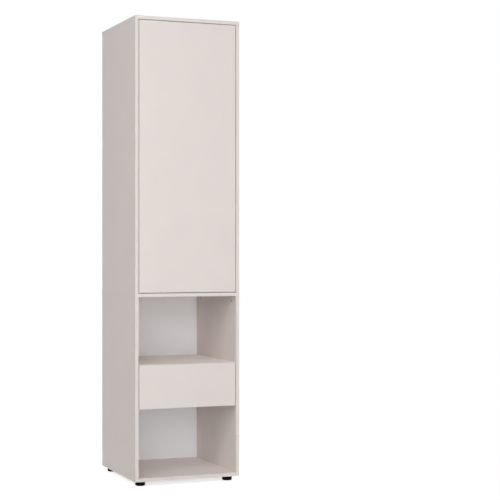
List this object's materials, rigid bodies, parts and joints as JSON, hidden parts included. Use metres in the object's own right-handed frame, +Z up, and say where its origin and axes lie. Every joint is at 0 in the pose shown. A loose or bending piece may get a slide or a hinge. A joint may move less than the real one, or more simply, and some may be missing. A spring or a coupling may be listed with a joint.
{
  "type": "wardrobe column",
  "caption": "Narrow tall wardrobe column: hanging space behind an inset handleless door, open niches and an inset drawer below, on low round feet.",
  "frame": {"origin": "on the floor under the middle of the cabinet's box", "axes": "+Z up, front towards -Y, door hinges at +X"},
  "size_m": [0.5, 0.495, 2.093],
  "materials": {
    "melamine_board": "matt warm grey-beige melamine",
    "white_board": "satin white lacquered thin board",
    "white_metal": "white powder coat",
    "white_plastic": "satin white",
    "black_plastic": "matt black",
    "dark_rubber": "dark grey rubber",
    "nickel": "nickel plated steel",
    "steel": "zinc plated steel",
    "zinc": "die-cast zinc",
    "beech": "bare beech"
  },
  "bodies": {
    "carcass": {"bottom_panel": "melamine_board", "middle_panel": "melamine_board", "top_panel": "melamine_board", "lower_side_left": "melamine_board", "lower_side_right": "melamine_board", "upper_side_left": "melamine_board", "upper_side_right": "melamine_board", "niche_shelf": "melamine_board", "lower_back_panel": "white_board", "upper_back_panel": "white_board", "front_left_foot": "black_plastic", "front_right_foot": "black_plastic", "rear_left_foot": "black_plastic", "rear_right_foot": "black_plastic", "hanging_rail": "white_metal", "rail_cradle_left": "white_plastic", "rail_cradle_right": "white_plastic", "hinge_arm_lower": "nickel", "hinge_arm_upper": "nickel", "hinge_plate_lower": "nickel", "hinge_plate_upper": "nickel", "hinge_plate_screws": "steel", "hinge_arm_screws": "steel", "latch_body": "white_plastic", "latch_screws": "steel", "runner_cabinet_left": "white_metal", "runner_cabinet_right": "white_metal", "runner_front_rivets": "steel", "runner_cabinet_screws": "steel", "cam_locks": "zinc", "cam_bolts": "steel", "double_cam_bolts": "steel", "base_screws": "steel", "carcass_dowels": "beech", "back_nails": "steel", "foot_screws": "steel", "rail_cradle_screws": "steel"},
    "door": {"door_panel": "melamine_board", "hinge_cup_lower": "nickel", "hinge_cup_upper": "nickel", "hinge_pins": "steel", "hinge_cup_screws": "steel"},
    "drawer": {"drawer_front": "melamine_board", "drawer_bottom": "white_board", "drawer_back": "melamine_board", "drawer_side_left": "melamine_board", "drawer_side_right": "melamine_board", "runner_drawer_left": "white_metal", "runner_drawer_right": "white_metal", "drawer_cam_locks": "zinc", "drawer_cam_bolts": "steel", "drawer_back_screws": "steel", "runner_rear_rivets": "steel", "runner_drawer_screws": "steel"},
    "front_rollers": {"front_rollers": "white_plastic"},
    "rear_rollers": {"rear_rollers": "white_plastic"},
    "latch_plunger": {"latch_plunger": "white_plastic", "latch_tip": "dark_rubber"}
  },
  "joints": [
    {"name": "door_swing", "type": "hinge", "parent": "carcass", "child": "door", "pos_m": [0.215, -0.2395, 0.96], "axis": [0, 0, 1], "range_deg": [0, 95]},
    {"name": "drawer_slide", "type": "slide", "parent": "carcass", "child": "drawer", "axis": [0, -1, 0], "range_m": [0, 0.33]},
    {"name": "front_roller_turn", "type": "hinge", "parent": "carcass", "child": "front_rollers", "pos_m": [0, -0.2145, 0.3697], "axis": [1, 0, 0], "range_deg": [0, 1720]},
    {"name": "rear_roller_turn", "type": "hinge", "parent": "drawer", "child": "rear_rollers", "pos_m": [0, 0.2095, 0.3687], "axis": [1, 0, 0], "range_deg": [0, 1720]},
    {"name": "latch_push", "type": "slide", "parent": "carcass", "child": "latch_plunger", "axis": [0, 1, 0], "range_m": [0, 0.003], "stiffness_N_per_m": 1500}
  ],
  "couplings": [
    {"joint": "front_roller_turn", "follows": "drawer_slide", "rad_per_m": 90.909},
    {"joint": "rear_roller_turn", "follows": "drawer_slide", "rad_per_m": 90.909}
  ]
}
